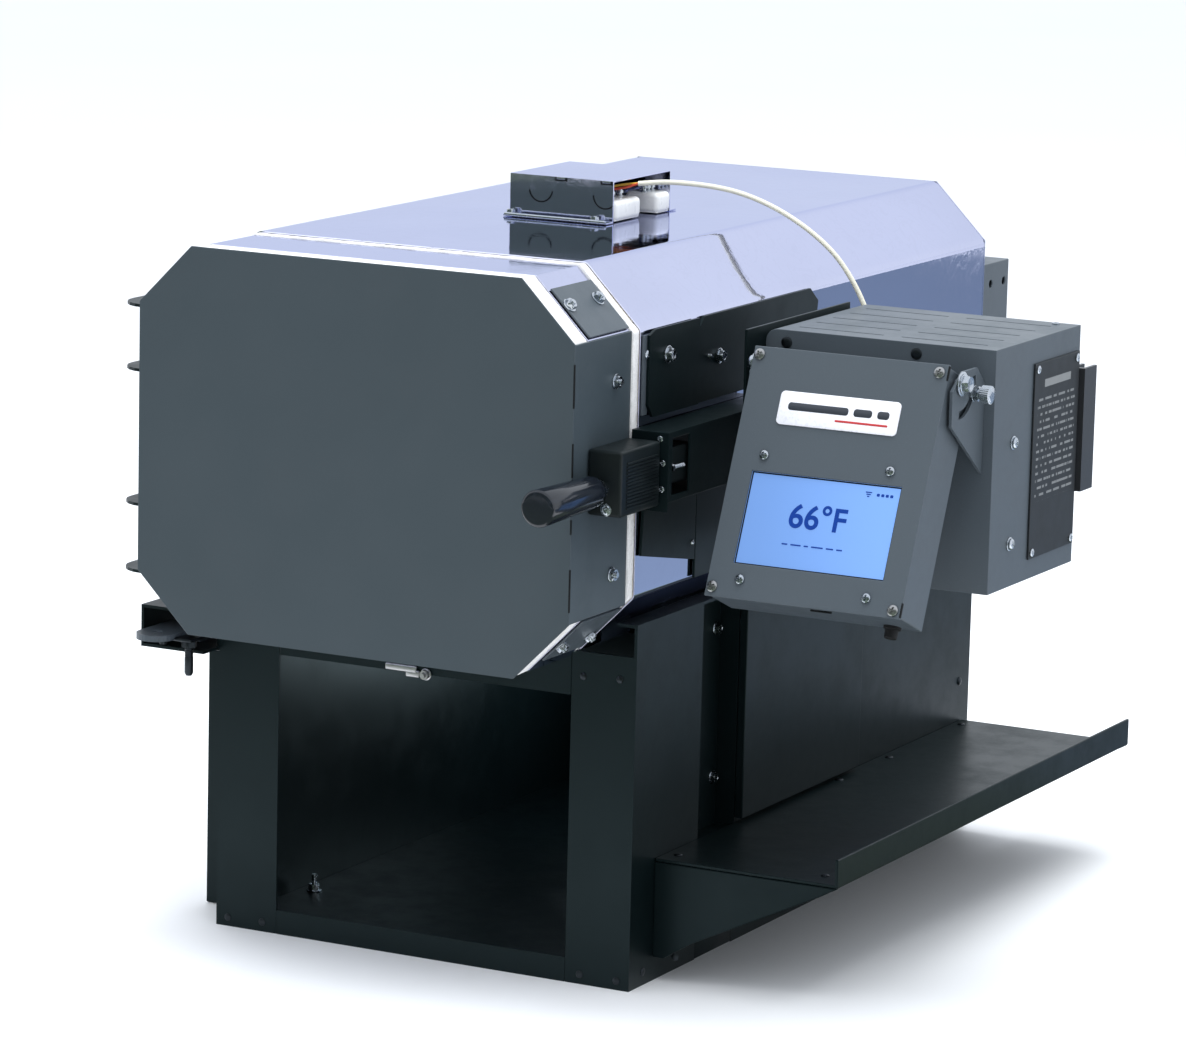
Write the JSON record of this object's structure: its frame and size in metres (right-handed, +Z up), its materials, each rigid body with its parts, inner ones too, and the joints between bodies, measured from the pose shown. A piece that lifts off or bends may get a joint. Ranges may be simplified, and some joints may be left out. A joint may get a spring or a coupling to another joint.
{
  "type": "bench heat-treating kiln",
  "caption": "Octagonal mirror-clad bench kiln on a sheet-steel stand, with a side-hung insulated door, side tray, control case and tilting touch display.",
  "frame": {"origin": "on the floor, under the middle of the stand, in line with the chamber's centre", "axes": "+Z up, -Y out of the door, +X towards the kiln's right, where the tray and the control case are"},
  "size_m": [0.5692, 0.726, 0.495],
  "materials": {
    "slate_paint": "fine satin powder coat",
    "grey_paint": "fine texture powder coat",
    "black_paint": "satin powder coat",
    "mirror_steel": "polished stainless sheet",
    "ceramic_fibre": "soft felted ceramic fibre",
    "insulating_brick": "porous, dry",
    "element_wire": "oxidised heating wire",
    "zinc_plate": "bright zinc plate",
    "porcelain": "glazed",
    "black_plastic": "polished",
    "moulded_plastic": "fine moulded texture",
    "glass_sleeve": "braided glass sleeve",
    "screen_glass": "lit display behind glass",
    "circuit_board": "solder-masked board",
    "anodised_aluminium": "black anodised"
  },
  "bodies": {
    "root": {"rear_cover": "grey_paint", "corner_gusset": "grey_paint", "control_case": "grey_paint", "display_ear_left": "grey_paint", "display_ear_right": "grey_paint", "pivot_plate": "grey_paint", "stand_panel_left": "black_paint", "stand_panel_right": "black_paint", "stand_floor": "black_paint", "stand_lintel": "black_paint", "stand_rear_panel": "black_paint", "cradle_rail_front": "black_paint", "cradle_rail_rear": "black_paint", "side_access_cover": "black_paint", "left_side_channel": "black_paint", "side_tray": "black_paint", "tray_bracket_front": "black_paint", "tray_bracket_rear": "black_paint", "hinge_bracket_upper": "black_paint", "hinge_bracket_lower": "black_paint", "pivot_bracket": "black_paint", "latch_side_plate": "black_paint", "latch_receiver": "black_paint", "control_mount": "black_paint", "body_wrap": "mirror_steel", "body_back_plate": "mirror_steel", "terminal_box": "mirror_steel", "front_gasket": "ceramic_fibre", "firebrick_front": "insulating_brick", "firebrick_rear": "insulating_brick", "firebrick_end": "insulating_brick", "heating_element_left": "element_wire", "heating_element_right": "element_wire", "hinge_pin_upper": "zinc_plate", "hinge_pin_lower": "zinc_plate", "terminal_block_front": "porcelain", "thermocouple_probe": "porcelain", "door_switch": "moulded_plastic", "data_plate": "moulded_plastic", "power_relay": "moulded_plastic", "thermocouple_lead": "glass_sleeve", "circuit_board": "circuit_board", "heat_sink": "anodised_aluminium"},
    "door": {"door_plate": "slate_paint", "door_fibre_pad": "ceramic_fibre", "door_band": "mirror_steel", "door_brick": "insulating_brick", "corner_tab_upper": "grey_paint", "corner_tab_lower": "grey_paint", "latch_housing": "moulded_plastic", "door_handle": "black_plastic", "hinge_leaf_upper": "slate_paint", "hinge_leaf_lower": "slate_paint"},
    "display": {"display_case": "grey_paint", "display_front": "grey_paint", "touch_screen": "screen_glass", "tilt_bolt_left": "zinc_plate", "tilt_bolt_right": "zinc_plate"},
    "clamp_knob": {"tilt_clamp_knob": "zinc_plate"},
    "switch_plunger_body": {"switch_plunger": "moulded_plastic"}
  },
  "joints": [
    {"name": "door_swing", "type": "hinge", "parent": "root", "child": "door", "pos_m": [-0.183, -0.293, 0.33], "axis": [0, 0, -1], "range_deg": [0, 120]},
    {"name": "display_tilt", "type": "hinge", "parent": "root", "child": "display", "pos_m": [0.2821, -0.223, 0.4055], "axis": [-1, 0, 0], "range_deg": [-22, 60]},
    {"name": "clamp_knob_turn", "type": "hinge", "parent": "display", "child": "clamp_knob", "pos_m": [0.357, -0.20533, 0.39726], "axis": [1, 0, 0], "range_deg": [0, 450]},
    {"name": "switch_plunger_travel", "type": "slide", "parent": "root", "child": "switch_plunger_body", "axis": [0, 1, 0], "range_m": [0, 0.003], "stiffness_N_per_m": 200, "springref_m": -0.002}
  ]
}
